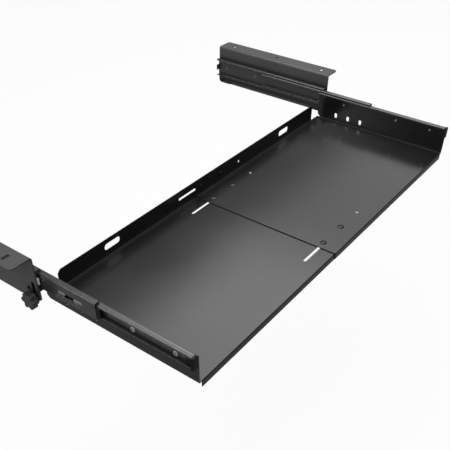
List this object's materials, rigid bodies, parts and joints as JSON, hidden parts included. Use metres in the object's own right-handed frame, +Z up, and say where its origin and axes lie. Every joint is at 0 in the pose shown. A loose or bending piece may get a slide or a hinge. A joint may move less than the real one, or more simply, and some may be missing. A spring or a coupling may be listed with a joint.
{
  "type": "keyboard tray",
  "caption": "Under-desk keyboard tray of two overlapping folded sheet halves on three-section ball slides, hung from two desk brackets with height adjustment and star knobs.",
  "frame": {"origin": "middle of the desk screw pattern, in the plane where both bracket flanges meet the desk", "axes": "+Z up, -Y toward the user, +Y back under the desk, +X to the user's right"},
  "size_m": [0.7626, 0.4913, 0.083],
  "materials": {
    "tray_coat": "satin black powder coat with a fine texture",
    "rail_coat": "smooth satin black electrophoretic coat",
    "bracket_coat": "satin black powder coat with a fine texture",
    "carrier_coat": "satin black powder coat",
    "rivet_steel": "flush ground rivet heads",
    "bolt_coat": "black oxide",
    "washer_coat": "black oxide",
    "nut_zinc": "bright zinc plate",
    "pale_nylon": "moulded nylon, natural",
    "knob_plastic": "moulded plastic, lightly textured",
    "insert_brass": "turned",
    "cage_steel": "zinc plated strip",
    "ball_steel": "polished",
    "black_plastic": "moulded acetal",
    "screw_zinc": "bright zinc plate",
    "joining_black": "black oxide"
  },
  "bodies": {
    "left_bracket": {"desk_bracket_left": "bracket_coat"},
    "left_carrier": {"carrier_plate_left": "carrier_coat", "outer_rail_left": "rail_coat", "rail_rivets_left": "rivet_steel", "carriage_bolts_left": "bolt_coat", "washers_left": "washer_coat", "rear_lock_nut_left": "nut_zinc", "edge_glide_left": "pale_nylon"},
    "left_knob": {"lock_knob_left": "knob_plastic", "knob_insert_left": "insert_brass"},
    "left_outer_cage": {"outer_ball_cage_left": "cage_steel", "outer_balls_left": "ball_steel"},
    "left_middle": {"middle_rail_left": "rail_coat", "middle_bumper_left": "black_plastic"},
    "left_inner_cage": {"inner_ball_cage_left": "cage_steel", "inner_balls_left": "ball_steel"},
    "tray_left": {"tray_left": "tray_coat", "inner_rail_left": "rail_coat", "inner_rail_screws_left": "screw_zinc", "rail_end_cap_left": "black_plastic", "release_lever_left": "black_plastic"},
    "right_bracket": {"desk_bracket_right": "bracket_coat"},
    "right_carrier": {"carrier_plate_right": "carrier_coat", "outer_rail_right": "rail_coat", "rail_rivets_right": "rivet_steel", "carriage_bolts_right": "bolt_coat", "washers_right": "washer_coat", "rear_lock_nut_right": "nut_zinc", "edge_glide_right": "pale_nylon"},
    "right_knob": {"lock_knob_right": "knob_plastic", "knob_insert_right": "insert_brass"},
    "right_outer_cage": {"outer_ball_cage_right": "cage_steel", "outer_balls_right": "ball_steel"},
    "right_middle": {"middle_rail_right": "rail_coat", "middle_bumper_right": "black_plastic"},
    "right_inner_cage": {"inner_ball_cage_right": "cage_steel", "inner_balls_right": "ball_steel"},
    "tray_right": {"tray_right": "tray_coat", "inner_rail_right": "rail_coat", "inner_rail_screws_right": "screw_zinc", "rail_end_cap_right": "black_plastic", "release_lever_right": "black_plastic", "joining_screws": "joining_black", "joining_nuts": "nut_zinc"}
  },
  "joints": [
    {"name": "height_adjust", "type": "slide", "parent": "left_bracket", "child": "left_carrier", "axis": [0, 0, 1], "range_m": [0, 0.02]},
    {"name": "tray_slide", "type": "slide", "parent": "left_carrier", "child": "tray_left", "axis": [0, 1, 0], "range_m": [0, 0.24]},
    {"name": "width_adjust", "type": "slide", "parent": "tray_left", "child": "tray_right", "axis": [1, 0, 0], "range_m": [-0.05, 0]},
    {"name": "left_knob_turn", "type": "hinge", "parent": "left_carrier", "child": "left_knob", "pos_m": [-0.3527, -0.1174, -0.0625], "axis": [-1, 0, 0], "continuous": true},
    {"name": "left_outer_cage_roll", "type": "slide", "parent": "left_carrier", "child": "left_outer_cage", "axis": [0, 1, 0], "range_m": [0, 0.0546]},
    {"name": "left_middle_slide", "type": "slide", "parent": "left_carrier", "child": "left_middle", "axis": [0, 1, 0], "range_m": [0, 0.1092]},
    {"name": "left_inner_cage_roll", "type": "slide", "parent": "left_carrier", "child": "left_inner_cage", "axis": [0, 1, 0], "range_m": [0, 0.1746]},
    {"name": "right_bracket_shift", "type": "slide", "parent": "left_bracket", "child": "right_bracket", "axis": [1, 0, 0], "range_m": [-0.05, 0]},
    {"name": "right_height", "type": "slide", "parent": "right_bracket", "child": "right_carrier", "axis": [0, 0, 1], "range_m": [0, 0.02]},
    {"name": "right_knob_turn", "type": "hinge", "parent": "right_carrier", "child": "right_knob", "pos_m": [0.3527, -0.1174, -0.0625], "axis": [1, 0, 0], "continuous": true},
    {"name": "right_outer_cage_roll", "type": "slide", "parent": "right_carrier", "child": "right_outer_cage", "axis": [0, 1, 0], "range_m": [0, 0.0546]},
    {"name": "right_middle_slide", "type": "slide", "parent": "right_carrier", "child": "right_middle", "axis": [0, 1, 0], "range_m": [0, 0.1092]},
    {"name": "right_inner_cage_roll", "type": "slide", "parent": "right_carrier", "child": "right_inner_cage", "axis": [0, 1, 0], "range_m": [0, 0.1746]}
  ],
  "couplings": [
    {"joint": "right_bracket_shift", "follows": "width_adjust", "ratio": 1},
    {"joint": "right_height", "follows": "height_adjust", "ratio": 1},
    {"joint": "left_outer_cage_roll", "follows": "tray_slide", "ratio": 0.2275},
    {"joint": "left_middle_slide", "follows": "tray_slide", "ratio": 0.455},
    {"joint": "left_inner_cage_roll", "follows": "tray_slide", "ratio": 0.7275},
    {"joint": "right_outer_cage_roll", "follows": "tray_slide", "ratio": 0.2275},
    {"joint": "right_middle_slide", "follows": "tray_slide", "ratio": 0.455},
    {"joint": "right_inner_cage_roll", "follows": "tray_slide", "ratio": 0.7275}
  ]
}
